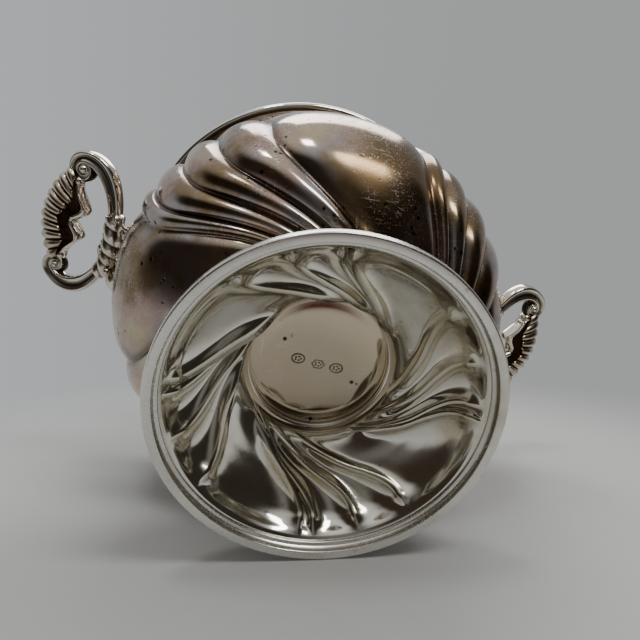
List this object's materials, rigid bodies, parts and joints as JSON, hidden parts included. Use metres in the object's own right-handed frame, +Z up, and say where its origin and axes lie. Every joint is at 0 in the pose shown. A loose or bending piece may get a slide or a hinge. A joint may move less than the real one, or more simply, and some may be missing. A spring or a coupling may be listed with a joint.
{
  "type": "two-handled sugar bowl",
  "caption": "Round silver sugar bowl with twisted flutes, a flared wired mouth, a domed fluted foot and scroll and shell side handles.",
  "frame": {"origin": "on the bowl's axis, at the face the foot stands on", "axes": "+Z up along the bowl's axis from foot to mouth, +X through the middle of the right handle's mount, +Y completes the right-handed frame"},
  "size_m": [0.1454, 0.0986, 0.0967],
  "materials": {
    "silver_bowl": "polished silver with brown tarnish and fine scratches",
    "silver_foot": "polished silver, clean, with fine scratches",
    "silver_bright": "bright polished silver",
    "silver_cast": "cast silver, bright on edges and dark in recesses",
    "silver_shell": "cast silver, oxidised brown and black between ribs"
  },
  "bodies": {
    "root": {"bowl_shell": "silver_bowl", "mouth_wire": "silver_bright", "foot_collar": "silver_bright", "foot_shell": "silver_foot", "foot_rim": "silver_foot", "long_scroll_right": "silver_cast", "shell_grip_right": "silver_shell", "short_scroll_right": "silver_cast", "leaf_mount_right": "silver_cast", "long_scroll_left": "silver_cast", "shell_grip_left": "silver_shell", "short_scroll_left": "silver_cast", "leaf_mount_left": "silver_cast"}
  },
  "joints": []
}
